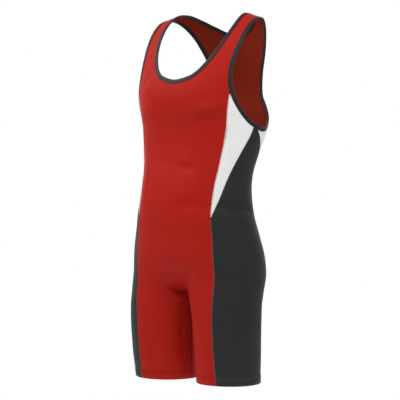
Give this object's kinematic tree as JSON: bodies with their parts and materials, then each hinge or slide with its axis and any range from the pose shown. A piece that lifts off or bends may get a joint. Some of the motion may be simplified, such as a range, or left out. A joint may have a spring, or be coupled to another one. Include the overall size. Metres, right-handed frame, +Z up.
{
  "type": "wrestling singlet",
  "caption": "Wrestling singlet with black side panels and white inserts on red, in its worn shape with nobody in it",
  "frame": {"origin": "midway between the tops of the two shoulder straps, where the garment hangs from a wearer or a hanger", "axes": "+Z up, -Y the way the front faces, +X towards the wearer's left"},
  "size_m": [0.3494, 0.2753, 0.8587],
  "materials": {
    "red_knit": "matt to satin stretch knit",
    "black_knit": "matt to satin stretch knit",
    "white_knit": "matt stretch knit",
    "binding_knit": "folded elastic knit"
  },
  "bodies": {
    "root": {"front_panel": "red_knit", "back_panel": "red_knit", "side_panel_left": "black_knit", "side_panel_right": "black_knit", "front_insert_left": "white_knit", "front_insert_right": "white_knit", "back_insert_left": "white_knit", "back_insert_right": "white_knit", "neck_binding": "binding_knit", "armhole_binding_left": "binding_knit", "armhole_binding_right": "binding_knit"}
  },
  "joints": []
}
